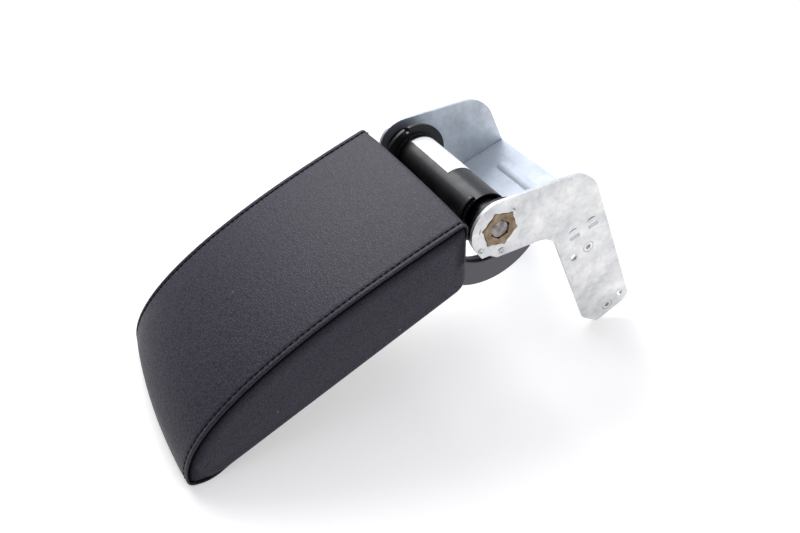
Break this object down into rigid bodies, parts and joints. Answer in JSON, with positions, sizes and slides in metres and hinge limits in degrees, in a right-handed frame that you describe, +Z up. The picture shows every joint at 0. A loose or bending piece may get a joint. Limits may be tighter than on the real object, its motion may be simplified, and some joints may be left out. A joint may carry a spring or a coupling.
{
  "type": "center console armrest",
  "caption": "Leather covered armrest lid that swings up on a friction hinge between two sheet steel cheeks, whose legs bolt into a vehicle center console.",
  "frame": {"origin": "middle of the overall length and width, on the floor that the lid's nose and the bracket's two feet rest on", "axes": "+X from the lid's nose to the bracket's legs, +Y along the hinge axis, +Z up"},
  "size_m": [0.3734, 0.15, 0.1538],
  "materials": {
    "leather": "fine grained, satin",
    "foam": "open foam",
    "black_plastic": "fine textured",
    "grey_plastic": "satin",
    "black_steel": "satin black coat",
    "zinc_steel": "mottled zinc coat",
    "spring_steel": "oiled steel",
    "sintered_hub": "brown sintered steel",
    "label_paper": "blank white film"
  },
  "bodies": {
    "bracket": {"cheek_left": "zinc_steel", "cheek_right": "zinc_steel", "web_plate": "zinc_steel", "friction_drum_left": "black_steel", "friction_drum_right": "black_steel", "star_hub_left": "sintered_hub", "star_hub_right": "sintered_hub", "hinge_shaft": "spring_steel", "torsion_spring": "spring_steel", "clinch_nut_1": "zinc_steel", "clinch_nut_2": "zinc_steel", "clinch_nut_3": "zinc_steel", "clinch_nut_4": "zinc_steel"},
    "lid": {"leather_cover": "leather", "foam_core": "foam", "carrier_plate": "black_plastic", "underside_trim": "black_plastic", "trim_screw_1": "black_steel", "trim_screw_2": "black_steel", "trim_screw_3": "black_steel", "trim_screw_4": "black_steel", "trim_screw_5": "black_steel", "trim_screw_6": "black_steel", "hinge_guard_left": "grey_plastic", "hinge_guard_right": "grey_plastic", "hinge_tube": "black_steel", "tube_label": "label_paper", "arm_plate_left": "black_steel", "arm_plate_right": "black_steel", "arm_bolt_1": "black_steel", "arm_bolt_2": "black_steel", "arm_bolt_3": "black_steel", "arm_bolt_4": "black_steel", "sleeve_left": "black_plastic", "sleeve_right": "black_plastic"}
  },
  "joints": [
    {"name": "lid_hinge", "type": "hinge", "parent": "bracket", "child": "lid", "pos_m": [0.0448, 0, 0.12767], "axis": [0, 1, 0], "range_deg": [0, 95]}
  ]
}
